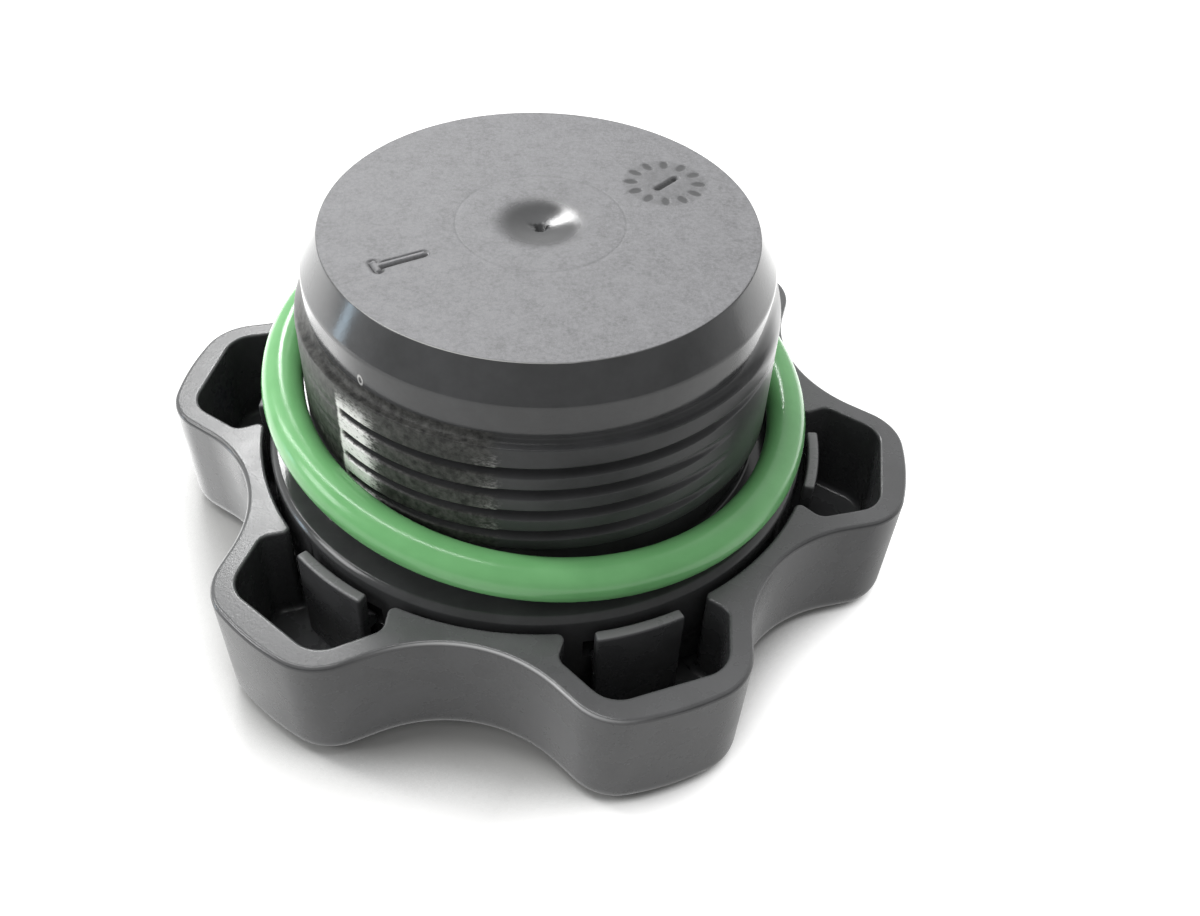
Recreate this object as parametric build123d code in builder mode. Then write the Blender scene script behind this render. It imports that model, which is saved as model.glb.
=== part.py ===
"""Screw-in filler and breather cap, lying on the outer face of its hand wheel with the thread upwards.

The hand wheel is a six-lobed moulded shell, open upwards, with a pocket in each lobe and a spring tongue in
the mouth of each pocket. The screw plug is a second moulding: a drum that stands in the wheel's well, with a
window for the nose of each tongue, a flange, a coarse screw spigot and a closed, chamfered end. A rubber
sealing ring hangs askew round the foot of the thread.

Origin at the middle of the hand wheel's outer face, +Z along the thread's axis, one lobe on +X.
"""

import os
from math import asin, atan2, cos, degrees, hypot, radians, sin, sqrt, tan

from build123d import *

os.makedirs("parts", exist_ok=True)

# Thread: 1 1/4 inch pipe size, 11 turns to the inch, with wide flat crests and narrow grooves
THREAD_DIAMETER = 41.91
THREAD_PITCH = 25.4 / 11
THREAD_LENGTH = 11.9
THREAD_DEPTH = 0.95
GROOVE_MOUTH = 0.8
GROOVE_FLOOR = 0.35
GROOVE_DEPTH = 0.85
TOP_RIDGE = 2.45
# The mould cuts grooves only in two opposite quarters. They run out gently into plain lands between them
GROOVED_AZIMUTH = -83.0
GROOVED_HALF_ANGLE = 45.0
RUNOUT_FLATNESS = 1.7

# Screw plug, upwards from its drum
FLANGE_OVERHANG = 4.05
FLANGE_RISE = 0.6
FLANGE_BEVEL = 0.5
DRUM_FOOT_BEVEL = 0.8
NECK_LENGTH = 3.2
PILOT_LENGTH = 3.35
END_CHAMFER_LENGTH = 2.9
END_CHAMFER_WIDTH = 1.7
END_THICKNESS = 3.2
SPIGOT_WALL = 3.2
FLANGE_THICKNESS = 3.0
DRUM_WALL = 2.6
DIMPLE_RADIUS = 3.4
DIMPLE_DEPTH = 0.6

# Hand wheel: well, plate and rim
WHEEL_HEIGHT = 12.5
WHEEL_DRAFT_ANGLE = 1.3
WHEEL_FOOT_ROUND = 2.0
WHEEL_RIM_ROUND = 0.4
PLATE_THICKNESS = 2.5
WELL_CLEARANCE = 0.7

# Lobes, measured at the rim
LOBES = 6
LOBE_REACH = 9.25
LOBE_TIP_CURVE = 25.2
LOBE_CORNER_ROUND = 5.1
LOBE_FLANK_ANGLE = 24.1
VALLEY_WALL = 1.85
VALLEY_ROUND = 12.7

# Pocket in each lobe, open to the well
POCKET_SIDE_WALL = 2.0
POCKET_TIP_WALL = 2.5
POCKET_SHOULDER = 1.5
POCKET_SHOULDER_ROUND = 1.2
POCKET_TIP_ROUND = 2.8
POCKET_MOUTH_ROUND = 0.6

# Spring tongue in the mouth of each pocket, with a nose in a window of the drum: it holds and turns the plug
TONGUE_THICKNESS = 1.1
TONGUE_HALF_WIDTH = 3.75
TONGUE_SLOT = 2.2
TONGUE_DROP = 0.2
CATCH_HEIGHT = 5.5
NOSE_REACH = 1.2
NOSE_LIP = 0.3
NOSE_SLOPE_HEIGHT = 1.2
WINDOW_HEIGHT = 2.0
CATCH_CLEARANCE = 0.4

# Marks in the plug's end face: a sunk round dial of ticks with a pointer, and a raised foot-ended bar
DIAL_DEPTH = 0.15
BAR_HEIGHT = 0.12
DIAL_DISTANCE = 12.4
DIAL_AZIMUTH = 41.5
DIAL_TICKS = 12
DIAL_TICK_RADIUS = 2.9
DIAL_TICK_LENGTH = 0.7
DIAL_TICK_WIDTH = 0.35
POINTER_LENGTH = 2.8
POINTER_WIDTH = 0.5
POINTER_ANGLE = 56.0
BAR_DISTANCE = 12.45
BAR_AZIMUTH = 219.0
BAR_LENGTH = 4.6
BAR_WIDTH = 0.6
BAR_FOOT_LENGTH = 1.6

# Sealing ring, hanging askew: it rests on the flange at its low side and on the thread at its high side
RING_SECTION = 3.6
RING_LOOSENESS = 0.4
RING_TILT = 7.1
RING_HIGH_AZIMUTH = 160.0

# Radii that follow
crest_radius = THREAD_DIAMETER / 2
pilot_radius = crest_radius - THREAD_DEPTH
end_face_radius = pilot_radius - END_CHAMFER_WIDTH
drum_radius = crest_radius + FLANGE_OVERHANG
well_radius = drum_radius + WELL_CLEARANCE
tip_radius = well_radius + LOBE_REACH

# Heights that follow
flange_top = WHEEL_HEIGHT + FLANGE_RISE
thread_foot = flange_top + NECK_LENGTH
thread_top = thread_foot + THREAD_LENGTH
pilot_top = thread_top + PILOT_LENGTH
end_face_z = pilot_top + END_CHAMFER_LENGTH
catch_z = PLATE_THICKNESS + CATCH_HEIGHT
rim_plane = Plane.XY.offset(WHEEL_HEIGHT)


def polar(radius, angle):
    """Point in the XY plane at that radius, and at that angle in degrees from +X."""
    return (radius * cos(radians(angle)), radius * sin(radians(angle)))


def wall_piece(inner_radius, outer_radius, half_angle):
    """Sketch of a piece of a round wall, seen from above and centred on +X."""
    with BuildSketch() as piece:
        with BuildLine():
            inner_arc = CenterArc((0, 0), inner_radius, -half_angle, 2 * half_angle)
            outer_arc = CenterArc((0, 0), outer_radius, -half_angle, 2 * half_angle)
            Line(inner_arc @ 0, outer_arc @ 0)
            Line(inner_arc @ 1, outer_arc @ 1)
        make_face()
    return piece.sketch


# A lobe's flank touches the round of the valley beside it
lobe_pitch = 360 / LOBES
valley_middle = polar(well_radius + VALLEY_WALL + VALLEY_ROUND, lobe_pitch / 2)
flank = radians(LOBE_FLANK_ANGLE)
flank_foot = valley_middle[1] + valley_middle[0] * tan(flank) - VALLEY_ROUND / cos(flank)
valley_radius = flank_foot / (sin(radians(lobe_pitch / 2)) + tan(flank) * cos(radians(lobe_pitch / 2)))

# It runs out to the curve of the lobe's tip, and meets it at a corner
tip_middle = tip_radius - LOBE_TIP_CURVE
flank_offset = (flank_foot - tip_middle * tan(flank)) * cos(flank)
flank_run = sqrt(LOBE_TIP_CURVE**2 - flank_offset**2)
corner_reach = tip_middle + flank_offset * sin(flank) + flank_run * cos(flank)
corner_half_width = flank_offset * cos(flank) - flank_run * sin(flank)
corner_radius = hypot(corner_reach, corner_half_width)
corner_azimuth = degrees(atan2(corner_half_width, corner_reach))

# A pocket's side is parallel to the flank, one wall inside it
pocket_foot = flank_foot - POCKET_SIDE_WALL / cos(flank)
pocket_tip_reach = tip_radius - POCKET_TIP_WALL
pocket_tip_half_width = pocket_foot - pocket_tip_reach * tan(flank)
shoulder_reach = well_radius + POCKET_SHOULDER
shoulder_half_width = pocket_foot - shoulder_reach * tan(flank)
mouth_half_width = TONGUE_HALF_WIDTH + TONGUE_SLOT
mouth_reach = sqrt(well_radius**2 - mouth_half_width**2)

# Angles that a tongue and its window cover on each side of the lobe's middle
tongue_half_angle = degrees(asin(TONGUE_HALF_WIDTH / well_radius))
window_half_angle = degrees(asin((TONGUE_HALF_WIDTH + CATCH_CLEARANCE) / well_radius))

# Profile of one pocket, with its mouth open to the well
with BuildSketch() as pocket_profile:
    with BuildLine():
        Polyline(
            (0, mouth_half_width),
            (mouth_reach, mouth_half_width),
            (shoulder_reach, shoulder_half_width),
            (pocket_tip_reach, pocket_tip_half_width),
            (pocket_tip_reach, 0),
            (0, 0),
            close=True,
        )
    make_face()
    mirror(about=Plane.XZ)
    for reach, rounding in (
        (pocket_tip_reach, POCKET_TIP_ROUND),
        (shoulder_reach, POCKET_SHOULDER_ROUND),
    ):
        fillet(pocket_profile.vertices().filter_by_position(Axis.X, reach, reach), radius=rounding)

# Hand wheel: the lobed block, the well and the pockets cut down to its plate, then the tongues
with BuildPart() as hand_wheel:
    with BuildSketch(rim_plane) as lobed_outline:
        with BuildLine():
            for lobe in range(LOBES):
                middle = lobe * lobe_pitch
                corner = polar(corner_radius, middle + corner_azimuth)
                valley = polar(valley_radius, middle + lobe_pitch / 2)
                ThreePointArc(polar(corner_radius, middle - corner_azimuth), polar(tip_radius, middle), corner)
                Line(corner, valley)
                Line(valley, polar(corner_radius, middle + lobe_pitch - corner_azimuth))
        make_face()
        fillet(lobed_outline.vertices().group_by(lambda v: hypot(v.X, v.Y))[0], radius=VALLEY_ROUND)
        fillet(lobed_outline.vertices().group_by(lambda v: hypot(v.X, v.Y))[-1], radius=LOBE_CORNER_ROUND)
    extrude(amount=-WHEEL_HEIGHT, taper=WHEEL_DRAFT_ANGLE)
    fillet(hand_wheel.edges().group_by(Axis.Z)[0], radius=WHEEL_FOOT_ROUND)
    fillet(hand_wheel.edges().group_by(Axis.Z)[-1], radius=WHEEL_RIM_ROUND)

    with BuildSketch(rim_plane) as cavity:
        Circle(well_radius)
        with PolarLocations(0, LOBES):
            add(pocket_profile.sketch)
        fillet(cavity.vertices().group_by(lambda v: hypot(v.X, v.Y))[0], radius=POCKET_MOUTH_ROUND)
    extrude(amount=PLATE_THICKNESS - WHEEL_HEIGHT, mode=Mode.SUBTRACT)

    with BuildSketch(Plane.XY.offset(PLATE_THICKNESS)):
        with PolarLocations(0, LOBES):
            add(wall_piece(well_radius, well_radius + TONGUE_THICKNESS, tongue_half_angle))
    extrude(amount=WHEEL_HEIGHT - TONGUE_DROP - PLATE_THICKNESS)

    # Each nose is flat below, where it holds the drum down, and slopes above, where the drum pushes past it
    for lobe in range(LOBES):
        start = lobe * lobe_pitch - tongue_half_angle
        with BuildSketch(Plane(origin=(0, 0, 0), x_dir=polar(1, start), z_dir=polar(1, start - 90))):
            Polygon(
                (well_radius + TONGUE_THICKNESS / 2, catch_z),
                (well_radius - NOSE_REACH, catch_z),
                (well_radius - NOSE_REACH, catch_z + NOSE_LIP),
                (well_radius, catch_z + NOSE_LIP + NOSE_SLOPE_HEIGHT),
                (well_radius + TONGUE_THICKNESS / 2, catch_z + NOSE_LIP + NOSE_SLOPE_HEIGHT),
                align=None,
            )
        revolve(axis=Axis.Z, revolution_arc=2 * tongue_half_angle)

hand_wheel.part.label = "hand_wheel"
export_step(hand_wheel.part, "parts/hand_wheel.step")

# Thread grooves: one helical cutter, less an oval core that reaches past the crests on the two plain lands
groove_turns = int((THREAD_LENGTH - TOP_RIDGE) / THREAD_PITCH)
groove_top_z = thread_top - TOP_RIDGE
helix_start_z = groove_top_z - THREAD_PITCH * (groove_turns - 1 + GROOVED_AZIMUTH % 360 / 360)
groove_flare = (GROOVE_MOUTH - GROOVE_FLOOR) / GROOVE_DEPTH
oval_half_depth = crest_radius - RUNOUT_FLATNESS
runout = radians(GROOVED_HALF_ANGLE)
oval_half_width = sin(runout) / sqrt(1 / crest_radius**2 - (cos(runout) / oval_half_depth) ** 2)
with BuildPart() as groove_cutter:
    with BuildLine() as groove_path:
        Helix(THREAD_PITCH, groove_turns * THREAD_PITCH, crest_radius, center=(0, 0, helix_start_z))
    with BuildSketch(Plane(origin=groove_path.line @ 0, x_dir=(1, 0, 0), z_dir=groove_path.line % 0)):
        outer_half = (GROOVE_MOUTH + groove_flare * GROOVE_DEPTH) / 2
        Polygon(
            (-GROOVE_DEPTH, -GROOVE_FLOOR / 2),
            (GROOVE_DEPTH, -outer_half),
            (GROOVE_DEPTH, outer_half),
            (-GROOVE_DEPTH, GROOVE_FLOOR / 2),
            align=None,
        )
    sweep(is_frenet=True)
    with BuildSketch():
        Ellipse(oval_half_depth, oval_half_width, rotation=GROOVED_AZIMUTH)
    extrude(amount=end_face_z, mode=Mode.SUBTRACT)

# Screw plug: a turned form, cored from below, then its thread, its windows and the marks in its end face
window_floor_radius = well_radius - NOSE_REACH - CATCH_CLEARANCE
with BuildPart() as screw_plug:
    with BuildSketch(Plane.XZ):
        Polygon(
            (0, end_face_z - DIMPLE_DEPTH),
            (DIMPLE_RADIUS, end_face_z),
            (end_face_radius, end_face_z),
            (pilot_radius, pilot_top),
            (pilot_radius, thread_top),
            (crest_radius, thread_top),
            (crest_radius, thread_foot + THREAD_DEPTH),
            (pilot_radius, thread_foot),
            (pilot_radius, flange_top),
            (drum_radius - FLANGE_BEVEL, flange_top),
            (drum_radius, flange_top - FLANGE_BEVEL),
            (drum_radius, PLATE_THICKNESS + DRUM_FOOT_BEVEL),
            (drum_radius - DRUM_FOOT_BEVEL, PLATE_THICKNESS),
            (window_floor_radius - DRUM_WALL, PLATE_THICKNESS),
            (window_floor_radius - DRUM_WALL, flange_top - FLANGE_THICKNESS),
            (pilot_radius - SPIGOT_WALL, flange_top - FLANGE_THICKNESS),
            (pilot_radius - SPIGOT_WALL, end_face_z - END_THICKNESS),
            (0, end_face_z - END_THICKNESS),
            align=None,
        )
    revolve(axis=Axis.Z)
    add(groove_cutter.part, mode=Mode.SUBTRACT)

    with BuildSketch(Plane.XY.offset(catch_z)):
        with PolarLocations(0, LOBES):
            add(wall_piece(window_floor_radius, well_radius, window_half_angle))
    extrude(amount=WINDOW_HEIGHT, mode=Mode.SUBTRACT)

    with BuildSketch(Plane.XY.offset(end_face_z)):
        with Locations(polar(DIAL_DISTANCE, DIAL_AZIMUTH)):
            Rectangle(POINTER_LENGTH, POINTER_WIDTH, rotation=POINTER_ANGLE)
            with PolarLocations(DIAL_TICK_RADIUS, DIAL_TICKS):
                Rectangle(DIAL_TICK_LENGTH, DIAL_TICK_WIDTH)
    extrude(amount=-DIAL_DEPTH, mode=Mode.SUBTRACT)

    with BuildSketch(Plane.XY.offset(end_face_z)):
        with Locations(Location((*polar(BAR_DISTANCE, BAR_AZIMUTH), 0), (0, 0, BAR_AZIMUTH))):
            Rectangle(BAR_LENGTH, BAR_WIDTH)
            with Locations((BAR_LENGTH / 2, 0)):
                Rectangle(BAR_WIDTH, BAR_FOOT_LENGTH)
    extrude(amount=BAR_HEIGHT)

screw_plug.part.label = "screw_plug"
export_step(screw_plug.part, "parts/screw_plug.step")

# Sealing ring: its plane leans, and it has slid down the slope until its high side meets the crest
ring_mean_radius = crest_radius + RING_LOOSENESS + RING_SECTION / 2
ring_slide = ring_mean_radius * cos(radians(RING_TILT)) - RING_SECTION / 2 - crest_radius
ring_middle_z = flange_top + RING_SECTION / 2 + ring_mean_radius * sin(radians(RING_TILT))
ring_middle = (*polar(ring_slide, RING_HIGH_AZIMUTH + 180), ring_middle_z)
ring_hinge = (*polar(1, RING_HIGH_AZIMUTH - 90), 0)
with BuildPart() as sealing_ring:
    with Locations(Location(ring_middle, ring_hinge, RING_TILT)):
        Torus(ring_mean_radius, RING_SECTION / 2)

sealing_ring.part.label = "sealing_ring"
export_step(sealing_ring.part, "parts/sealing_ring.step")
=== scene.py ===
"""Screw-in filler and breather cap: a moulded hand wheel, a screw plug and a loose rubber sealing ring.

Every mesh is worked out in millimetres and goes into Blender in metres. In the plane of the wheel a point is
one complex number, so a turn is a product and a mirror image is a conjugate.
"""

import bpy
import numpy as np
from mathutils import Euler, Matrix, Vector


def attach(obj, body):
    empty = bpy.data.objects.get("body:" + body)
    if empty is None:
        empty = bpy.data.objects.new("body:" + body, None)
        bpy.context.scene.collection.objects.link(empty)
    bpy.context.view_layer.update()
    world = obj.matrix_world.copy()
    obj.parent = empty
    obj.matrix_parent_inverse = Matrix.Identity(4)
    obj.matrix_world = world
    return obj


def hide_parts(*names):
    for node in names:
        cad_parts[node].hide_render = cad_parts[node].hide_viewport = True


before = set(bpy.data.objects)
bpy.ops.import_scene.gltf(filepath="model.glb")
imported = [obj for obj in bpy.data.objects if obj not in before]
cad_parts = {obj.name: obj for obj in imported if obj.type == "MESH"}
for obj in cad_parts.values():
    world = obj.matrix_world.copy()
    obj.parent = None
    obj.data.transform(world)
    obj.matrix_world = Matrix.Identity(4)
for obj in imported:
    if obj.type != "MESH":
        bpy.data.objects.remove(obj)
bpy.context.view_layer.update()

# Hand wheel: one open shell of black plastic, injection moulded with its rim up. Six lobes are joined by
# round valleys, each lobe has a pocket that opens into the round well, and the rim's edges are softly broken.
MM = 0.001
LOBES = 6
WHEEL_HEIGHT = 12.5
PLATE_THICKNESS = 2.5
WELL_RADIUS = 25.705
TIP_RADIUS = WELL_RADIUS + 9.25
TIP_CURVE = 25.2
CORNER_ROUND = 5.1
FLANK_ANGLE = np.radians(90 - 24.1)
VALLEY_WALL = 1.85
VALLEY_ROUND = 12.7
POCKET_TIP_REACH = TIP_RADIUS - 2.5
POCKET_SIDE_WALL = 2.0
POCKET_TIP_ROUND = 2.8
SHOULDER_REACH = WELL_RADIUS + 1.5
SHOULDER_ROUND = 1.2
MOUTH_HALF_WIDTH = 5.95
MOUTH_ROUND = 0.6
DRAFT = np.radians(1.3)
FOOT_ROUND = 2.0
RIM_ROUND = 0.4
POCKET_EDGE_ROUND = 0.25
FLOOR_ROUND = 0.5
FLOOR_RING = 24.0
BESIDE_ROUND = 0.06


def bend(middle, radius, first, last, count, side=1):
    """An arc: its middle plus its radius at evenly stepped angles, the last one left out. Below the points
    come the ways they face: away from the middle, or towards it where side is -1."""
    turns = np.exp(1j * np.linspace(first, last, count, endpoint=False))
    return np.array((middle + radius * turns, side * turns))


def run(start, end, way, count):
    """A straight edge: even steps from its start to its end, the end left out, and the one way it faces."""
    return np.array((start + (end - start) * np.arange(count) / count, np.full(count, way)))


def crossing(way_a, reach_a, way_b, reach_b):
    """The point whose shadow on each of two ways is as long as that way's reach."""
    return 1j * (reach_a * way_b - reach_b * way_a) / (way_a * np.conj(way_b)).imag


def all_lobes(half):
    """A closed path from half a lobe: its mirror image and the half, then turned copies of the two."""
    lobe = np.hstack((np.conj(half[:, :0:-1]), half[:, :-1]))
    turns = np.exp(2j * np.pi / LOBES * np.arange(LOBES))
    return (turns[:, None] * lobe[:, None, :]).reshape(2, -1)


def bands(path, outward, height):
    """Rows of points: for each row the path is moved outward along its own ways, and lifted to its height."""
    flat = path[0] + np.asarray(outward)[:, None] * path[1]
    return np.stack((flat.real, flat.imag, np.broadcast_to(np.asarray(height)[:, None], flat.shape)), axis=-1)


def closed_skin(rows, first_middle, last_middle):
    """Points and faces of a closed skin: rows that all go once round, with faces between neighbouring rows,
    and fans of faces that close the first and the last row on a middle point."""
    lines, count = rows.shape[:2]
    near = np.arange((lines - 1) * count).reshape(lines - 1, count)
    beside = np.roll(near, -1, axis=1)
    walls = np.stack((near, beside, beside + count, near + count), axis=-1).reshape(-1, 4)
    row = np.arange(count)
    after = np.roll(row, -1)
    first_fan = np.stack((np.full(count, lines * count), after, row), axis=-1)
    last_row = (lines - 1) * count
    last_fan = np.stack((last_row + row, last_row + after, np.full(count, lines * count + 1)), axis=-1)
    points = np.vstack((rows.reshape(-1, 3), first_middle, last_middle))
    return points, walls.tolist() + first_fan.tolist() + last_fan.tolist()


def put(name, points, faces, finish, sharp_angle=38):
    """Makes a piece of the points and faces. It is shaded smooth, but for edges sharper than the angle."""
    mesh = bpy.data.meshes.new(name)
    mesh.from_pydata((points * MM).tolist(), [], faces)
    mesh.materials.append(finish)
    mesh.shade_smooth()
    mesh.set_sharp_from_angle(angle=np.radians(sharp_angle))
    piece = bpy.data.objects.new(name, mesh)
    bpy.context.scene.collection.objects.link(piece)
    return piece


def knot(tree, kind, inputs=None, **settings):
    """Adds one shader node. Its inputs are numbers, colours or the outputs of other nodes."""
    node = tree.nodes.new(kind)
    for name, value in settings.items():
        setattr(node, name, value)
    for name, value in (inputs or {}).items():
        if isinstance(value, bpy.types.NodeSocket):
            tree.links.new(value, node.inputs[name])
        else:
            node.inputs[name].default_value = value
    return node


def clouds(tree, place, size, detail=2.0, roughness=0.5):
    """Cloudy noise whose soft lumps are about the given size in millimetres."""
    inputs = {"Vector": place, "Scale": 1 / (size * MM), "Detail": detail, "Roughness": roughness}
    return knot(tree, "ShaderNodeTexNoise", inputs).outputs["Fac"]


def between(tree, value, low, high, from_low=0.35, from_high=0.65):
    """Stretches a value's own range, at first the middle of a noise's, over the range from low to high, and
    holds it at the ends."""
    inputs = {"Value": value, "From Min": from_low, "From Max": from_high, "To Min": low, "To Max": high}
    return knot(tree, "ShaderNodeMapRange", inputs).outputs["Result"]


def blend_colour(tree, factor, first, second):
    """Mixes two colours."""
    return knot(tree, "ShaderNodeMix", {0: factor, 6: first, 7: second}, data_type="RGBA").outputs[2]


def blend_value(tree, factor, first, second):
    """Mixes two values."""
    return knot(tree, "ShaderNodeMix", {0: factor, 2: first, 3: second}, data_type="FLOAT").outputs[0]


def reckon(tree, operation, first, second):
    """A sum, a product or the like of two values."""
    return knot(tree, "ShaderNodeMath", {0: first, 1: second}, operation=operation).outputs[0]


def along_way(tree, place, way):
    """How far a place lies along a way: the dot product of the two."""
    inputs = {0: place, 1: way}
    return knot(tree, "ShaderNodeVectorMath", inputs, operation="DOT_PRODUCT").outputs["Value"]


def stretched(tree, place, share):
    """The place with its height times the share, so that a pattern on it gets taller or flatter."""
    return knot(tree, "ShaderNodeMapping", {"Vector": place, "Scale": (1.0, 1.0, share)}).outputs["Vector"]


def bumps(tree, height, depth, under=None):
    """Bumps as deep as the depth in millimetres, on top of the bumps under them."""
    inputs = {"Height": height, "Distance": depth * MM, "Strength": 1.0}
    if under is not None:
        inputs["Normal"] = under
    return knot(tree, "ShaderNodeBump", inputs).outputs["Normal"]


def paint(piece, name, values):
    """Keeps one value for each of the piece's points under a name."""
    piece.data.attributes.new(name, "FLOAT", "POINT").data.foreach_set("value", values.astype(np.float32))


def painted(tree, name):
    """Reads the values that are kept under the name."""
    return knot(tree, "ShaderNodeAttribute", attribute_name=name).outputs["Fac"]


def new_finish(name):
    """A new material, its node tree, and the place on the piece that its patterns go by."""
    finish = bpy.data.materials.new(name)
    finish.use_nodes = True
    return finish, finish.node_tree, knot(finish.node_tree, "ShaderNodeTexCoord").outputs["Object"]


def coat(tree, colour, roughness, normal):
    """Gives the material's shader its colour, its roughness and its bumps."""
    shader = tree.nodes["Principled BSDF"]
    for name, value in (("Base Color", colour), ("Roughness", roughness), ("Normal", normal)):
        tree.links.new(value, shader.inputs[name])
    return shader


valley_way = np.exp(1j * np.pi / LOBES)
valley_middle = (WELL_RADIUS + VALLEY_WALL + VALLEY_ROUND) * valley_way
flank_way = np.exp(1j * FLANK_ANGLE)
flank_reach = (valley_middle * np.conj(flank_way)).real - VALLEY_ROUND
tip_middle = TIP_RADIUS - TIP_CURVE
corner_lean = flank_reach - CORNER_ROUND - tip_middle * flank_way.real
corner_run = np.sqrt((TIP_CURVE - CORNER_ROUND) ** 2 - corner_lean**2)
corner_middle = tip_middle + flank_way * (corner_lean - 1j * corner_run)
corner_angle = np.angle(corner_middle - tip_middle)
outline = all_lobes(
    np.hstack(
        (
            bend(tip_middle, TIP_CURVE, 0, corner_angle, 10),
            bend(corner_middle, CORNER_ROUND, corner_angle, FLANK_ANGLE, 14),
            run(
                corner_middle + CORNER_ROUND * flank_way,
                valley_middle - VALLEY_ROUND * flank_way,
                flank_way,
                8,
            ),
            bend(valley_middle, VALLEY_ROUND, FLANK_ANGLE + np.pi, np.pi / LOBES + np.pi, 52, side=-1),
            [[valley_middle - VALLEY_ROUND * valley_way], [valley_way]],
        )
    )
)

# The cavity's half lobe: pocket tip, side, shoulder and mouth, then a piece of the well
side_reach = flank_reach - POCKET_SIDE_WALL
tip_round_middle = crossing(1, POCKET_TIP_REACH - POCKET_TIP_ROUND, flank_way, side_reach - POCKET_TIP_ROUND)
shoulder = crossing(1, SHOULDER_REACH, flank_way, side_reach)
mouth = np.sqrt(WELL_RADIUS**2 - MOUTH_HALF_WIDTH**2) + 1j * MOUTH_HALF_WIDTH
mouth_way = -1j * (mouth - shoulder) / abs(mouth - shoulder)
mouth_line_reach = (shoulder * np.conj(mouth_way)).real
shoulder_middle = crossing(
    flank_way, side_reach - SHOULDER_ROUND, mouth_way, mouth_line_reach - SHOULDER_ROUND
)
mouth_height = mouth_line_reach + MOUTH_ROUND
mouth_middle = mouth_way * (mouth_height - 1j * np.sqrt((WELL_RADIUS + MOUTH_ROUND) ** 2 - mouth_height**2))
mouth_angle = np.angle(mouth_way)
well_start = np.angle(mouth_middle)
cavity = all_lobes(
    np.hstack(
        (
            run(complex(POCKET_TIP_REACH), POCKET_TIP_REACH + 1j * tip_round_middle.imag, 1, 12),
            bend(tip_round_middle, POCKET_TIP_ROUND, 0, FLANK_ANGLE, 14),
            run(
                tip_round_middle + POCKET_TIP_ROUND * flank_way,
                shoulder_middle + SHOULDER_ROUND * flank_way,
                flank_way,
                10,
            ),
            bend(shoulder_middle, SHOULDER_ROUND, FLANK_ANGLE, mouth_angle, 10),
            run(
                shoulder_middle + SHOULDER_ROUND * mouth_way,
                mouth_middle - MOUTH_ROUND * mouth_way,
                mouth_way,
                4,
            ),
            bend(mouth_middle, MOUTH_ROUND, mouth_angle - np.pi, well_start - np.pi, 12, side=-1),
            bend(0, WELL_RADIUS, well_start, np.pi / LOBES, 22),
            [[WELL_RADIUS * valley_way], [valley_way]],
        )
    )
)
# The ring in the floor has as many points as the outline, and they stand closer in front of the pockets
half_count = outline.shape[1] // (2 * LOBES)
floor_turns = np.exp(1j * np.pi / LOBES * (np.arange(half_count + 1) / half_count) ** 1.6)
floor_ring = all_lobes(np.array((FLOOR_RING * floor_turns, floor_turns)))

# Rows up the outside, with the rounds at foot and rim fitted between the drafted wall and the flat ends
foot_angles = np.linspace(-np.pi / 2, -DRAFT, 10)
rim_angles = np.linspace(-DRAFT, np.pi / 2, 8)
foot_inset = FOOT_ROUND / np.cos(DRAFT) + (WHEEL_HEIGHT - FOOT_ROUND) * np.tan(DRAFT)
rim_inset = RIM_ROUND / np.cos(DRAFT) + RIM_ROUND * np.tan(DRAFT)
foot_rows = bands(
    outline,
    FOOT_ROUND * np.cos(foot_angles) - foot_inset,
    FOOT_ROUND * (1 + np.sin(foot_angles)),
)
outer_face_rows = foot_rows[:1] * np.array(((0.5, 0.5, 1), (0.99, 0.99, 1)))[:, None]
wall_heights = np.array((2.2, 4.5, 7.2, 9.8, 11.7, 12.0))
wall_rows = bands(outline, (wall_heights - WHEEL_HEIGHT) * np.tan(DRAFT), wall_heights)
rim_rows = bands(
    outline,
    RIM_ROUND * np.cos(rim_angles) - rim_inset,
    WHEEL_HEIGHT - RIM_ROUND * (1 - np.sin(rim_angles)),
)
flat_edge = bands(outline, [-rim_inset - BESIDE_ROUND], [WHEEL_HEIGHT])

# Rows across the rim, down the cavity and over its floor
edge_angles = np.linspace(0, np.pi / 2, 6)
flat_end = bands(cavity, [POCKET_EDGE_ROUND + BESIDE_ROUND], [WHEEL_HEIGHT])
across = np.array((1 / 3, 2 / 3))[:, None, None]
flat_rows = flat_edge * (1 - across) + flat_end * across
edge_rows = bands(
    cavity,
    POCKET_EDGE_ROUND * (1 - np.sin(edge_angles)),
    WHEEL_HEIGHT - POCKET_EDGE_ROUND * (1 - np.cos(edge_angles)),
)
cavity_heights = np.array((12.1, 9.0, 6.0, 3.2))
cavity_rows = bands(cavity, 0 * cavity_heights, cavity_heights)
corner_rows = bands(
    cavity,
    -FLOOR_ROUND * (1 - np.cos(edge_angles)),
    PLATE_THICKNESS + FLOOR_ROUND * (1 - np.sin(edge_angles)),
)
floor_rows = bands(floor_ring, [0.0], [PLATE_THICKNESS])
shell_points, shell_faces = closed_skin(
    np.vstack(
        (
            outer_face_rows,
            foot_rows,
            wall_rows,
            rim_rows,
            flat_edge,
            flat_rows,
            flat_end,
            edge_rows,
            cavity_rows,
            corner_rows,
            floor_rows,
        )
    ),
    (0, 0, 0),
    (0, 0, PLATE_THICKNESS),
)

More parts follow.
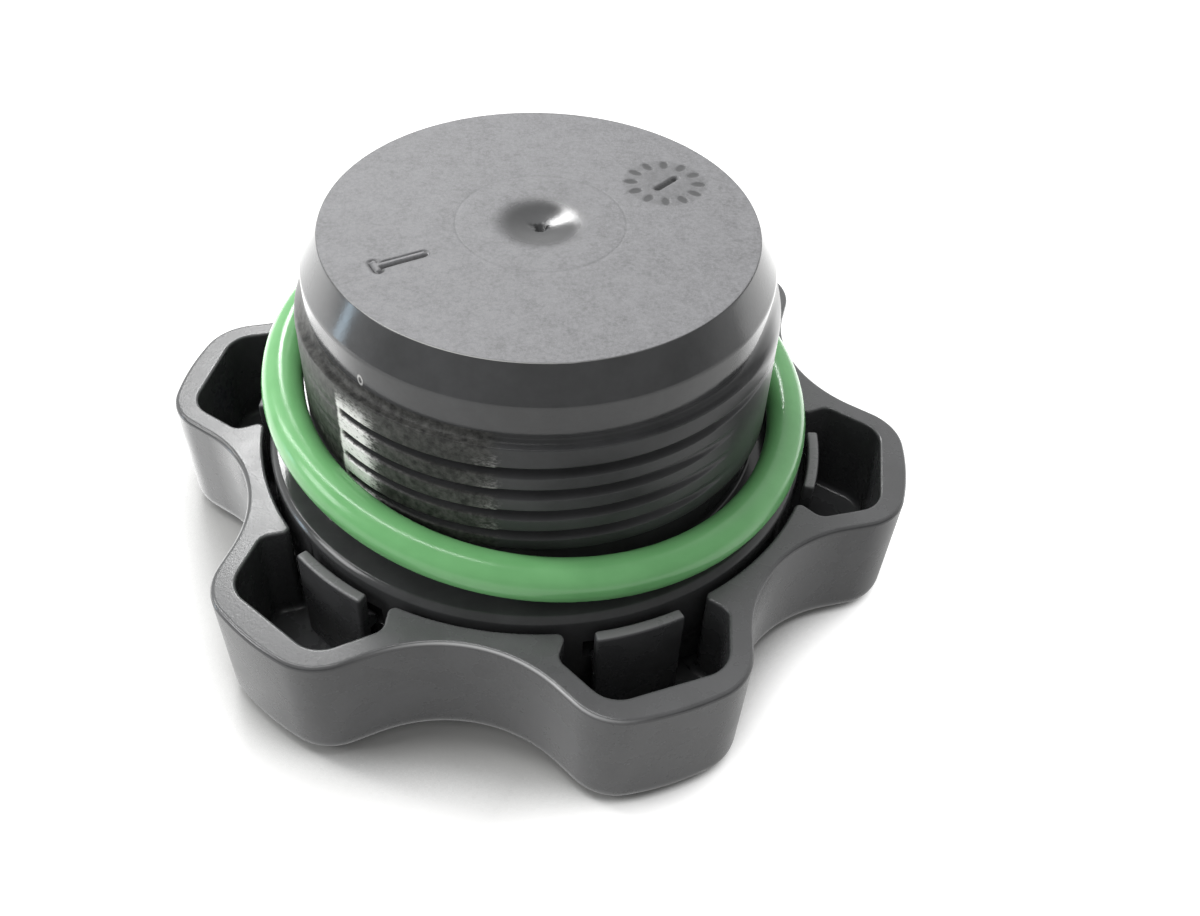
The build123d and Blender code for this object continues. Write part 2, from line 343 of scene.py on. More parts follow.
# Spring tongues: one thin upright tab stands in the mouth of each pocket, moulded in one with the wheel. A
# nose on its inner side snaps into a window of the plug's drum.
TONGUE_THICKNESS = 1.1
TONGUE_HALF_WIDTH = 3.75
TONGUE_TOP = WHEEL_HEIGHT - 0.2
TONGUE_ROOT = PLATE_THICKNESS - 0.1
TONGUE_EDGE_ROUND = 0.28
TONGUE_MIDDLE = 7.0
MIDDLE_ROWS = 13
NOSE_REACH = 1.2
NOSE_LIP = 0.3
NOSE_SLOPE = 1.2
CATCH_HEIGHT = 8.0

tongue_inside = WELL_RADIUS
tongue_outside = WELL_RADIUS + TONGUE_THICKNESS
round_in = np.linspace(np.pi, np.pi / 2, 5)
round_out = np.linspace(np.pi / 2, 0, 5)
inner_middle = tongue_inside + TONGUE_EDGE_ROUND + 1j * (TONGUE_TOP - TONGUE_EDGE_ROUND)
outer_middle = tongue_outside - TONGUE_EDGE_ROUND + 1j * (TONGUE_TOP - TONGUE_EDGE_ROUND)
tongue_section = np.concatenate(
    (
        [
            tongue_inside + 1j * TONGUE_ROOT,
            tongue_inside + 1j * CATCH_HEIGHT,
            tongue_inside - NOSE_REACH + 1j * CATCH_HEIGHT,
            tongue_inside - NOSE_REACH + 1j * (CATCH_HEIGHT + NOSE_LIP),
            tongue_inside + 1j * (CATCH_HEIGHT + NOSE_LIP + NOSE_SLOPE),
        ],
        inner_middle + TONGUE_EDGE_ROUND * np.exp(1j * round_in),
        outer_middle + TONGUE_EDGE_ROUND * np.exp(1j * round_out),
        [tongue_outside + 1j * TONGUE_MIDDLE, tongue_outside + 1j * TONGUE_ROOT],
    )
)
section_ways = np.concatenate(
    (np.full(5, -1 + 0j), np.exp(1j * round_in), np.exp(1j * round_out), np.full(2, 1 + 0j))
)
# At each end of a tongue the section shrinks along a round that stops just short of its full quarter, so that
# the corners keep a trace of their own round and no two points fall together
tongue_half_angle = np.arcsin(TONGUE_HALF_WIDTH / WELL_RADIUS)
closing = np.linspace(0.49 * np.pi, 0, 6)
end_angles = tongue_half_angle - TONGUE_EDGE_ROUND * (1 - np.sin(closing)) / WELL_RADIUS
end_insets = TONGUE_EDGE_ROUND * (1 - np.cos(closing))
middle_angles = np.linspace(-0.9, 0.9, MIDDLE_ROWS) * tongue_half_angle
tongue_angles = np.concatenate((-end_angles, middle_angles, end_angles[::-1]))
tongue_insets = np.concatenate((end_insets, np.zeros(MIDDLE_ROWS), end_insets[::-1]))


def tongue_rows(angles, insets):
    """One tongue: its upright section, shrunk by each inset, stands at each angle round the wheel's axis."""
    section = tongue_section - insets[:, None] * section_ways
    place = section.real * np.exp(1j * angles)[:, None]
    return np.stack((place.real, place.imag, section.imag), axis=-1)


wheel_points, wheel_faces = [shell_points], list(shell_faces)
for lobe in range(LOBES):
    turned = tongue_angles + lobe * 2 * np.pi / LOBES
    rows = tongue_rows(turned, tongue_insets)
    points, faces = closed_skin(rows, rows[0].mean(axis=0), rows[-1].mean(axis=0))
    start = sum(map(len, wheel_points))
    wheel_faces += [[corner + start for corner in face] for face in faces]
    wheel_points.append(points)

# Hands have polished the rim's outer edge, and round one valley a painted highlight lies on it in pale grey.
# The rim's top and the tops of the tongues are painted a little paler than the walls: painted top light.
EDGE_HIGHLIGHT_MIDDLE = np.radians(-85)
EDGE_HIGHLIGHT_HALF = np.radians(17)
EDGE_HIGHLIGHT_STRENGTH = 0.9
TONGUE_TOP_PAINTED_LIGHT = 0.2
RIM_TOP_PAINTED_LIGHT = 0.08

wheel_points = np.vstack(wheel_points)
rim_start = (len(outer_face_rows) + len(foot_rows) + len(wall_rows)) * outline.shape[1]
on_rim = slice(rim_start, rim_start + rim_rows[..., 0].size)
rim_polish = np.repeat(np.sin(2 * np.clip(rim_angles, 0, np.pi / 2)), outline.shape[1])
polish = np.zeros(len(wheel_points))
polish[on_rim] = rim_polish
on_tongue = np.arange(len(wheel_points)) >= len(shell_points)
tongue_tops = wheel_points[:, 2] > TONGUE_TOP - 0.06
rim_top = wheel_points[:, 2] > WHEEL_HEIGHT - 0.1
# Painted top light: the tops of the rim and of the tongues are painted paler, as if lit from above
painted_light = np.where(on_tongue, TONGUE_TOP_PAINTED_LIGHT * tongue_tops, RIM_TOP_PAINTED_LIGHT * rim_top)
# Painted highlight: a pale streak along the rim's rounded outer edge round the front valley
from_edge_highlight = np.angle(rim_rows[..., 0] + 1j * rim_rows[..., 1]).ravel() - EDGE_HIGHLIGHT_MIDDLE
edge_highlight = rim_polish**6 * np.exp(-((from_edge_highlight / EDGE_HIGHLIGHT_HALF) ** 4))
painted_light[on_rim] = np.maximum(painted_light[on_rim], EDGE_HIGHLIGHT_STRENGTH * edge_highlight)

# The wheel's plastic: black with a satin mould finish, a little cloudy, with a fine even grain
WHEEL_BLACKS = (0.056, 0.057, 0.059, 1), (0.073, 0.074, 0.077, 1)
WHEEL_PAINTED_LIGHT_GREY = (0.62, 0.62, 0.62, 1)
POLISHED_ROUGHNESS = 0.14

wheel_plastic, tree, place = new_finish("wheel_plastic")
haze = clouds(tree, place, 3.5, detail=4.0, roughness=0.6)
grain = clouds(tree, place, 0.22, detail=3.0, roughness=0.6)
colour = blend_colour(tree, between(tree, haze, 0, 1), *WHEEL_BLACKS)
# The painted highlight on the rim's edge and the painted top light are blended in pale grey
colour = blend_colour(tree, painted(tree, "painted_light"), colour, WHEEL_PAINTED_LIGHT_GREY)
roughness = between(tree, haze, 0.24, 0.31)
roughness = blend_value(tree, painted(tree, "polish"), roughness, POLISHED_ROUGHNESS)
coat(tree, colour, roughness, bumps(tree, grain, 0.009))

hand_wheel = put("hand_wheel_shell", wheel_points, wheel_faces, wheel_plastic)
paint(hand_wheel, "polish", polish)
paint(hand_wheel, "painted_light", painted_light)
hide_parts("hand_wheel")
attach(hand_wheel, "root")

# Screw plug: a hollow black moulding that the tongues hold in the well. Its drum has six windows, and above
# the bevelled flange stand the neck, the interrupted thread, the plain pilot and the closed, marked end.
FLANGE_RADIUS = 25.005
FLANGE_TOP = 13.1
FLANGE_UNDERSIDE = 10.1
DRUM_FOOT_BEVEL = 0.8
DRUM_CORE_RADIUS = 21.505
CORE_RADIUS = 16.805
CORE_TOP = 31.25
CREST_RADIUS = 20.955
NECK_RADIUS = 20.005
THREAD_PITCH = 25.4 / 11
THREAD_FOOT = 16.3
CREST_START = 17.25
TOP_GROOVE = 25.75
GROOVES = 4
GROOVE_DEPTH = 0.85
GROOVED_MIDDLE = -83.0
GROOVED_HALF = 45.0
MOULD_SEAM = -87.5
LEDGE_HEIGHT = 28.2
LEAD_IN_START = 27.0
PILOT_EASE_START = 31.3
END_FACE = 34.45
END_EDGE = END_FACE - 0.02
WINDOW_FOOT = 8.0
WINDOW_TOP = 10.0
WINDOW_DEPTH = 1.6
WINDOW_HALF_ANGLE = 9.3

# Across each groove: how far a row lies from its middle line, and how deep it is there
half_groove = np.array((0.09, 0.18, 0.26, 0.34, 0.42, 0.5, 0.56, 0.62, 0.68))
groove_offsets = np.concatenate((-half_groove[::-1], half_groove))
groove_lines = TOP_GROOVE - THREAD_PITCH * np.arange(GROOVES)[::-1]
grooved_heights = (groove_lines[:, None] + groove_offsets).ravel()
grooved_offsets = np.tile(groove_offsets, GROOVES)

# The profile, row by row from the top of the hidden core to the rim of the end face: radius and height. The
# ledge and the lead-in are given from the crest's radius and the height where they start
below_thread = np.array(
    (
        (8.4, CORE_TOP), (CORE_RADIUS, CORE_TOP), (CORE_RADIUS, FLANGE_UNDERSIDE),
        (DRUM_CORE_RADIUS, FLANGE_UNDERSIDE), (DRUM_CORE_RADIUS, PLATE_THICKNESS),
        (FLANGE_RADIUS - DRUM_FOOT_BEVEL, PLATE_THICKNESS),
        (FLANGE_RADIUS, PLATE_THICKNESS + DRUM_FOOT_BEVEL),
        (FLANGE_RADIUS, WINDOW_FOOT - 0.04), (FLANGE_RADIUS, WINDOW_FOOT), (FLANGE_RADIUS, WINDOW_TOP),
        (FLANGE_RADIUS, WINDOW_TOP + 0.04), (FLANGE_RADIUS, 12.4), (FLANGE_RADIUS, 12.53), (24.97, 12.64),
        (24.54, 13.06), (24.44, FLANGE_TOP), (24.3, FLANGE_TOP), (22.4, FLANGE_TOP), (20.42, FLANGE_TOP),
        (20.3, 13.11), (20.15, 13.16), (20.06, 13.25), (20.01, 13.4), (NECK_RADIUS, 13.6),
        (NECK_RADIUS, 15.0), (NECK_RADIUS, 16.2),
    )
)
ledge = (CREST_RADIUS, LEDGE_HEIGHT) + np.array(
    (
        (0.0, -0.12), (-0.005, -0.07), (-0.03, -0.03), (-0.075, -0.005), (-0.155, 0.0), (-0.455, 0.005),
        (-0.615, 0.02), (-0.745, 0.07), (-0.845, 0.15), (-0.915, 0.27), (-0.945, 0.42), (-0.95, 0.65),
    )
)
lead_in = (CREST_RADIUS, LEAD_IN_START) + np.array(
    (
        (0.0, 0.0), (-0.015, 0.25), (-0.055, 0.5), (-0.125, 0.75), (-0.215, 1.0), (-0.315, 1.24),
        (-0.415, 1.48), (-0.515, 1.72), (-0.625, 1.98), (-0.745, 2.26), (-0.865, 2.6), (-0.95, 3.1),
    )
)
above_thread = np.array(
    (
        (NECK_RADIUS, PILOT_EASE_START), (20.002, 31.38), (19.99, 31.47), (19.96, 31.6), (19.9, 31.72),
        (19.84, 31.83), (19.1, 33.09), (18.5, 34.117), (18.36, 34.356), (18.335, 34.396), (18.3, END_EDGE),
        (18.25, END_FACE - 0.003), (18.2, END_FACE), (18.1, END_FACE),
    )
)
foot_heights = np.array((16.3, 16.42, 16.85, 17.2, 17.32))
face_radii = np.concatenate(
    (
        (17.3, 16.5),
        np.arange(16.2, 8.75, -0.16),
        (8.2, 7.6, 7.3, 7.2, 7.1, 7.0, 6.9, 6.3, 5.4, 4.7),
        np.linspace(4.3, 0.14, 25),
    )
)

# The columns stand closer where the dial, the bar mark and the sharp ends of the grooves are
azimuths = np.radians(
    np.concatenate(
        (
            np.arange(0, 24.5, 1.0), np.arange(24.5, 58.5, 0.48), np.arange(58.5, 214, 1.0),
            np.arange(214, 224, 0.4), np.arange(224, 230, 1.0), np.arange(230, 234, 0.4),
            np.arange(234, 359.5, 1.0),
        )
    )
)


def smooth_step(value):
    """A soft S, nought below 0 and one above 1: between them, three times the square less twice the cube."""
    held = np.clip(value, 0, 1)
    return held * held * (3 - 2 * held)


def angle_from(middle):
    """How far each column lies from that azimuth, in degrees, from -180 to 180."""
    return (np.degrees(azimuths) - middle + 180) % 360 - 180


# A groove starts sharply on its left, climbs one pitch a turn and fades out on its right, the top one last.
# Past the mould seam it is a little wider. On the second half of a plain land no more than a fine line is
# left of it, and on the right land the rows slide back there, so that they meet themselves behind the cap.
# The angles are in degrees from a groove's left end
SHARP_END = 1.6
FADE_START = 62
FADE_LENGTHS = 40, 40, 40, 62
FINE_LINE = 0.06
FINE_LINE_START = 158
FINE_LINE_GROWTH = 12
SLIDE_START = 132
SLIDE_LENGTH = 26
WIDE_GROOVE = 1.18
NARROW_GROOVE = 0.94
GROOVE_HALF_FLOOR = 0.12
GROOVE_FLANK = 0.38
LEAST_ROW_STEP = 0.015

around = (angle_from(GROOVED_MIDDLE) + GROOVED_HALF) % 360
from_left = around % 180
slide = smooth_step((around - SLIDE_START) / SLIDE_LENGTH)
climb = THREAD_PITCH * ((around - GROOVED_HALF) / 360 - slide)
fade = np.repeat(FADE_LENGTHS, len(groove_offsets))[:, None]
grooved_reach = smooth_step(from_left / SHARP_END) * (1 - smooth_step((from_left - FADE_START) / fade))
fine_line = FINE_LINE * smooth_step((from_left - FINE_LINE_START) / FINE_LINE_GROWTH)
grooved_reach = np.maximum(grooved_reach, fine_line)
reach = np.vstack((np.zeros((len(foot_heights), len(azimuths))), grooved_reach))
widening = np.where(np.abs(angle_from(MOULD_SEAM + 25)) < 25, WIDE_GROOVE, NARROW_GROOVE)

thread_heights = np.concatenate((foot_heights, grooved_heights))
thread_offsets = np.concatenate((np.full(len(foot_heights), np.inf), grooved_offsets))
follows = np.isfinite(thread_offsets)[:, None]
height = thread_heights[:, None] + follows * climb
spacing = LEAST_ROW_STEP * np.arange(len(height))[:, None]
height = np.minimum.accumulate((height - spacing)[::-1])[::-1] + spacing
from_groove = np.abs(thread_offsets)[:, None] / widening
depth = GROOVE_DEPTH * (1 - smooth_step((from_groove - GROOVE_HALF_FLOOR) / GROOVE_FLANK))
crest = np.interp(height, (THREAD_FOOT, CREST_START), (NECK_RADIUS, CREST_RADIUS))
radius = np.minimum(crest, CREST_RADIUS - depth * reach)
thread_rows = np.stack((radius * np.cos(azimuths), radius * np.sin(azimuths), height), axis=-1)


def turned_rows(profile, recess=0.0):
    """Rows of a turned surface: each row is a circle of its radius, less the recess, at its height."""
    radii = profile[:, :1] - recess
    heights = np.broadcast_to(profile[:, 1:], radii.shape[:1] + azimuths.shape)
    return np.stack((radii * np.cos(azimuths), radii * np.sin(azimuths), heights), axis=-1)


# A window behind each tongue's nose
from_lobe = (np.degrees(azimuths) + 30) % 60 - 30
window = smooth_step((WINDOW_HALF_ANGLE + 0.5 - np.abs(from_lobe)) / 0.9)
at_window = (below_thread[:, 1] >= WINDOW_FOOT) & (below_thread[:, 1] <= WINDOW_TOP)
in_window = at_window & (below_thread[:, 0] == FLANGE_RADIUS)
core_rows = turned_rows(below_thread, WINDOW_DEPTH * in_window[:, None] * window)

# Above the grooves the crest ends in a ledge, and above the plain lands in a cone, the lead-in. The right one
# is longer. Its half angle and the stretch over which it turns into the ledge are in degrees
LEAD_IN_HALF_ANGLE = 12
LEAD_IN_FADE = 26
RIGHT_LEAD_IN_LONGER = 0.36

from_land = np.abs(np.abs(angle_from(GROOVED_MIDDLE)) - 90)
eased = 1 - smooth_step((from_land - LEAD_IN_HALF_ANGLE) / LEAD_IN_FADE)
longer = 1 + RIGHT_LEAD_IN_LONGER * eased * (np.abs(angle_from(GROOVED_MIDDLE + 90)) < 90)
lead_in_heights = LEAD_IN_START + (lead_in[:, 1:] - LEAD_IN_START) * longer
shoulder_radii = ledge[:, :1] * (1 - eased) + lead_in[:, :1] * eased
shoulder_heights = ledge[:, 1:] * (1 - eased) + lead_in_heights * eased
shoulder_rows = np.stack(
    (shoulder_radii * np.cos(azimuths), shoulder_radii * np.sin(azimuths), shoulder_heights), axis=-1
)

# A burr hangs over the front edge of the end face, and a smaller one beside it. Their middles and widths are
# in degrees
BURR_MIDDLE = -71.5
BURR_WIDTH = 1.6
SMALL_BURR_MIDDLE = -75.5
SMALL_BURR_WIDTH = 1.2
SMALL_BURR_SHARE = 0.6
BURR_REACH = 0.05
BURR_HEIGHT = 0.15

large_burr = np.exp(-((angle_from(BURR_MIDDLE) / BURR_WIDTH) ** 2))
small_burr = np.exp(-((angle_from(SMALL_BURR_MIDDLE) / SMALL_BURR_WIDTH) ** 2))
burr = large_burr + SMALL_BURR_SHARE * small_burr
at_edge = above_thread[:, 1:] > END_FACE - BURR_HEIGHT
pilot_rows = turned_rows(above_thread, -BURR_REACH * at_edge * burr)

# The end face: a dish with a ragged gate mark in its middle, a faint ring, a dial with a pointer, and a
# raised bar with a groove round it
DISH_RADIUS = 4.4
DISH_DEPTH = 0.65
GATE_PIT_RADIUS = 0.36
GATE_PIT_DEPTH = 0.55
SMALL_PIT_PLACE = -0.8 + 0.1j
SMALL_PIT_WIDTH = 0.22
SMALL_PIT_DEPTH = 0.12
WITNESS_RADIUS = 7.1
WITNESS_WIDTH = 0.1
WITNESS_DEPTH = 0.02
DIAL_PLACE = 12.5 * np.exp(1j * np.radians(42.0))
DIAL_RADIUS = 3.4
PETALS = 12
PETAL_RADIUS = 2.95
PETAL_HALF_WIDTH = 0.26
PETAL_SQUEEZE = 0.6
PETAL_DEPTH = 0.03
POINTER_TURN = np.exp(1j * np.radians(58.0))
POINTER_SHIFT = 0.15
POINTER_HALF_LENGTH = 1.2
POINTER_HALF_WIDTH = 0.14
POINTER_DEPTH = 0.4
BAR_TURN = np.exp(1j * np.radians(219.0))
BAR_DISTANCE = 12.45
BAR_HALF_LENGTH = 1.95
BAR_HALF_WIDTH = 0.13
BAR_FOOT = 2.1
BAR_FOOT_HALF_LENGTH = 0.55
BAR_HEIGHT = 0.115
MOAT_REACH = 0.34
MOAT_WIDTH = 0.12
MOAT_DEPTH = 0.16

face_r, face_a = np.meshgrid(face_radii, azimuths, indexing="ij")
face_place = face_r * np.exp(1j * face_a)
dish = -DISH_DEPTH * 0.5 * (1 + np.cos(np.pi * np.clip(face_r / DISH_RADIUS, 0, 1)))
ragged = GATE_PIT_RADIUS + 0.07 * np.sin(3 * face_a + 0.6) + 0.05 * np.sin(5 * face_a)
gate_pit = 1 - smooth_step((face_r - ragged) / 0.16)
small_pit = np.exp(-((np.abs(face_place - SMALL_PIT_PLACE) / SMALL_PIT_WIDTH) ** 2))
witness = np.exp(-(((face_r - WITNESS_RADIUS) / WITNESS_WIDTH) ** 2))

in_dial = face_place - DIAL_PLACE
petal_turns = np.exp(2j * np.pi * (np.arange(PETALS) + 0.3) / PETALS)
in_petals = in_dial[..., None] / petal_turns - PETAL_RADIUS
petal_gap = np.abs(in_petals.real * PETAL_SQUEEZE + 1j * in_petals.imag).min(axis=-1)
petals = 1 - smooth_step((petal_gap - PETAL_HALF_WIDTH) / 0.24)
dial = 1 - smooth_step((np.abs(in_dial) - DIAL_RADIUS) / 0.4)
along = (in_dial - POINTER_SHIFT) / POINTER_TURN
pointer_gap = np.abs(np.maximum(np.abs(along.real) - POINTER_HALF_LENGTH, 0) + 1j * along.imag)
pointer = 1 - smooth_step((pointer_gap - POINTER_HALF_WIDTH) / 0.2)

in_bar = face_place / BAR_TURN - BAR_DISTANCE
bar_gap = np.abs(np.maximum(np.abs(in_bar.real) - BAR_HALF_LENGTH, 0) + 1j * in_bar.imag)
beyond_foot = np.maximum(np.abs(in_bar.imag) - BAR_FOOT_HALF_LENGTH, 0)
foot_gap = np.abs((in_bar.real - BAR_FOOT) + 1j * beyond_foot)
bar_outline = np.minimum(bar_gap, foot_gap)
bar = 1 - smooth_step((bar_outline - BAR_HALF_WIDTH) / 0.13)
bar_moat = np.exp(-(((bar_outline - MOAT_REACH) / MOAT_WIDTH) ** 2))
pits = GATE_PIT_DEPTH * gate_pit + SMALL_PIT_DEPTH * small_pit
marks = WITNESS_DEPTH * witness + PETAL_DEPTH * petals + POINTER_DEPTH * pointer + MOAT_DEPTH * bar_moat
face_height = END_FACE + dish + BAR_HEIGHT * bar - pits - marks
face_rows = np.stack((face_place.real, face_place.imag, face_height), axis=-1)

plug_parts = (core_rows, thread_rows, shoulder_rows, pilot_rows, face_rows)
gate_bottom = END_FACE - DISH_DEPTH - GATE_PIT_DEPTH
plug_points, plug_faces = closed_skin(np.vstack(plug_parts), (0, 0, CORE_TOP), (0, 0, gate_bottom))

# Where the finish changes: the end face is matt but for its dish and marks, and its groove round the bar is
# painted dark as shade. The crests left of the seam are coarse; beside the sharp groove ends and the seam
# they are rubbed pale and painted with glints. The edge of the end face at the front is rubbed pale. Places
# round the axis are in degrees
MATT_START = 2.4
LEFT_PATCH_START = -129.4
LEFT_PATCH_FADE = -123.4
LEFT_PATCH_WEAR_AND_GLINT = 1.3
SEAM_PATCH_START = -95.0
SEAM_PATCH_WEAR_AND_GLINT = 0.3
COARSE_START = -175.0
EDGE_RUB_MIDDLE = -98.0
EDGE_RUB_WIDTH = 32.0
EDGE_RUB = 0.7

matt_face = smooth_step((face_r - MATT_START) / 2.2)
matt_face *= (1 - 0.3 * dial) * (1 - 0.9 * petals) * (1 - 0.95 * pointer)
# Round the bar the matt is taken away, so the groove there shows dark: painted shade along the bar's outline
matt_face *= (1 - 0.9 * bar_moat) * (1 - 0.25 * witness)
on_crest = smooth_step((radius - CREST_RADIUS + 0.22) / 0.2)
left_patch = smooth_step(angle_from(LEFT_PATCH_START) / 1.6)
left_patch *= 1 - smooth_step(angle_from(LEFT_PATCH_FADE) / 10)
seam_patch = smooth_step(angle_from(SEAM_PATCH_START) / 7)
seam_patch *= 1 - smooth_step(angle_from(MOULD_SEAM) / 0.8)
low_on_crest = smooth_step((thread_offsets[:, None] - 0.4) / 0.1) * follows
seam_wear_and_glint = SEAM_PATCH_WEAR_AND_GLINT * seam_patch * (0.2 + 0.8 * low_on_crest)
# The patches are rubbed wear and painted glints on the crests at once
thread_wear_and_glint = on_crest * np.clip(LEFT_PATCH_WEAR_AND_GLINT * left_patch + seam_wear_and_glint, 0, 1)
coarse_band = smooth_step(angle_from(COARSE_START) / 20)
coarse_band *= 1 - smooth_step((angle_from(MOULD_SEAM) + 3) / 5)
coarse_thread = on_crest * coarse_band


def whole_mask(thread=0.0, shoulder=0.0, pilot=0.0, face=0.0):
    """A value for each of the plug's points, from those of its thread, shoulder, pilot and end face."""
    values = (0.0, thread, shoulder, pilot, face)
    whole = [np.broadcast_to(value, part.shape[:2]).ravel() for value, part in zip(values, plug_parts)]
    return np.concatenate(whole + [[0.0, whole[-1][-1]]])


# The plug's plastic: black and smooth, with the pale grainy end face and the pale outline of a small blister
# at the left of the pilot. The blister is taller than it is wide
BLISTER_SQUEEZE = 0.62
BLISTER_PLACE = Vector((-10.60, -16.97, 29.42 * BLISTER_SQUEEZE))
PLUG_BLACKS = (0.054, 0.055, 0.056, 1), (0.068, 0.069, 0.071, 1)
MATT_GREYS = (0.120, 0.120, 0.124, 1), (0.150, 0.150, 0.156, 1)
MOTTLE_GREY = (0.25, 0.25, 0.26, 1)
SPECKLE_GREY = (0.29, 0.29, 0.30, 1)
# The white of wear, of painted glints on the thread, and of the blister's outline
WEAR_GLINT_AND_BLISTER_WHITE = (0.95, 0.95, 0.92, 1)

plug_plastic, tree, place = new_finish("plug_plastic")
matt = painted(tree, "matt")
haze = clouds(tree, place, 4.0, detail=4.0, roughness=0.6)
mottle = clouds(tree, place, 1.3, detail=4.0, roughness=0.7)
speckle = clouds(tree, place, 0.36, detail=4.0, roughness=0.9)
from_blister = knot(
    tree,
    "ShaderNodeVectorMath",
    {0: stretched(tree, place, BLISTER_SQUEEZE), 1: BLISTER_PLACE * MM},
    operation="DISTANCE",
).outputs["Value"]
blister_inside = between(tree, from_blister, 0.0, 0.6, 0.16 * MM, 0.22 * MM)
blister_outside = between(tree, from_blister, 0.6, 0.0, 0.26 * MM, 0.36 * MM)
blister = reckon(tree, "MINIMUM", blister_inside, blister_outside)
smooth_colour = blend_colour(tree, between(tree, haze, 0, 1), *PLUG_BLACKS)
matt_colour = blend_colour(tree, between(tree, haze, 0, 1), *MATT_GREYS)
matt_colour = blend_colour(tree, between(tree, mottle, 0.0, 0.6), matt_colour, MOTTLE_GREY)
matt_colour = blend_colour(tree, between(tree, speckle, 0.0, 0.8), matt_colour, SPECKLE_GREY)
colour = blend_colour(tree, matt, smooth_colour, matt_colour)
# The rubbed edge, the painted glints beside it on the thread and the blister's outline turn white
wear_glint_and_blister = reckon(tree, "MAXIMUM", painted(tree, "wear_and_glint"), blister)
colour = blend_colour(tree, wear_glint_and_blister, colour, WEAR_GLINT_AND_BLISTER_WHITE)
roughness = blend_value(tree, matt, between(tree, haze, 0.13, 0.19), between(tree, speckle, 0.42, 0.54))
fine_bumps = bumps(tree, clouds(tree, place, 0.2, detail=2.0), 0.005)
matt_bumps = bumps(tree, reckon(tree, "MULTIPLY", matt, speckle), 0.045, fine_bumps)
coat(tree, colour, roughness, matt_bumps)

# The thread's finish: duller than the rest, pebbled left of the seam, and white beside the groove ends, where
# rubbed wear and painted glints lie together
THREAD_BLACKS = (0.046, 0.047, 0.048, 1), (0.060, 0.061, 0.063, 1)
COARSE_BLACKS = (0.016, 0.016, 0.015, 1), (0.080, 0.080, 0.075, 1)
COARSE_ROUGHNESS = 0.5

thread_finish, tree, place = new_finish("thread_finish")
wear_and_glint = painted(tree, "wear_and_glint")
coarse = painted(tree, "coarse")
haze = clouds(tree, place, 4.0, detail=4.0, roughness=0.6)
pebbles = clouds(tree, place, 0.7, detail=4.0, roughness=0.7)
strokes = clouds(tree, stretched(tree, place, 2.2), 0.5, detail=4.0, roughness=0.75)
smooth_colour = blend_colour(tree, between(tree, haze, 0, 1), *THREAD_BLACKS)
coarse_colour = blend_colour(tree, between(tree, pebbles, 0, 1), *COARSE_BLACKS)
colour = blend_colour(tree, coarse, smooth_colour, coarse_colour)
# The white goes on in ragged strokes: rubbed wear and painted glints together
reach_of_strokes = between(tree, wear_and_glint, 0.50, 0.22, 0.0, 1.0)
scuffs_and_glints = between(tree, reckon(tree, "SUBTRACT", strokes, reach_of_strokes), 0.0, 1.0, 0.0, 0.25)
colour = blend_colour(tree, reckon(tree, "MULTIPLY", wear_and_glint, scuffs_and_glints), colour, WEAR_GLINT_AND_BLISTER_WHITE)
roughness = blend_value(tree, coarse, between(tree, haze, 0.30, 0.38), COARSE_ROUGHNESS)
pebble_bumps = bumps(tree, reckon(tree, "MULTIPLY", coarse, pebbles), 0.04)
shader = coat(tree, colour, roughness, pebble_bumps)
shader.inputs["Specular IOR Level"].default_value = 0.25

screw_plug = put("screw_plug_body", plug_points, plug_faces, plug_plastic, sharp_angle=75)
screw_plug.data.materials.append(thread_finish)
thread_start = len(core_rows) * len(azimuths)
thread_end = thread_start + (len(thread_rows) + len(shoulder_rows) - 1) * len(azimuths)
finish_of_faces = np.zeros(len(plug_faces), dtype=np.int32)
finish_of_faces[thread_start:thread_end] = 1
screw_plug.data.polygons.foreach_set("material_index", finish_of_faces)
above_edge = above_thread[:, 1:] - END_EDGE
edge_top = smooth_step(above_edge / 0.015)
along_edge = np.exp(-((angle_from(EDGE_RUB_MIDDLE) / EDGE_RUB_WIDTH) ** 2))
edge_rub = EDGE_RUB * (np.abs(above_edge) < 0.005) * along_edge
paint(screw_plug, "matt", whole_mask(pilot=edge_top, face=matt_face))
paint(screw_plug, "wear_and_glint", whole_mask(thread=thread_wear_and_glint, pilot=edge_rub))
paint(screw_plug, "coarse", whole_mask(thread=coarse_thread, shoulder=coarse_band))
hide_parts("screw_plug")
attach(screw_plug, "root")

# Sealing ring: a green rubber ring of round section that hangs loose and askew round the foot of the thread.
# A fine flash line from its mould runs along its outer and inner side.
RING_MEAN_RADIUS = 23.155
RING_SECTION_RADIUS = 1.8
RING_TILT = np.radians(7.1)
RING_HIGH_WAY = np.exp(1j * np.radians(160.0))
RING_STEPS = 288
SECTION_STEPS = 72
FLASH_HEIGHT = 0.02
FLASH_WIDTH = 0.05
RING_GREENS = (0.182, 0.485, 0.187, 1), (0.20, 0.52, 0.205, 1)

ring_slide = RING_MEAN_RADIUS * np.cos(RING_TILT) - RING_SECTION_RADIUS - CREST_RADIUS
ring_middle_height = FLANGE_TOP + RING_SECTION_RADIUS + RING_MEAN_RADIUS * np.sin(RING_TILT)
ring_u, ring_v = np.meshgrid(
    np.linspace(0, 2 * np.pi, RING_STEPS, endpoint=False),
    np.linspace(0, 2 * np.pi, SECTION_STEPS, endpoint=False),
    indexing="ij",
)
flash = FLASH_HEIGHT * np.exp(-((np.sin(ring_v) / FLASH_WIDTH) ** 2))
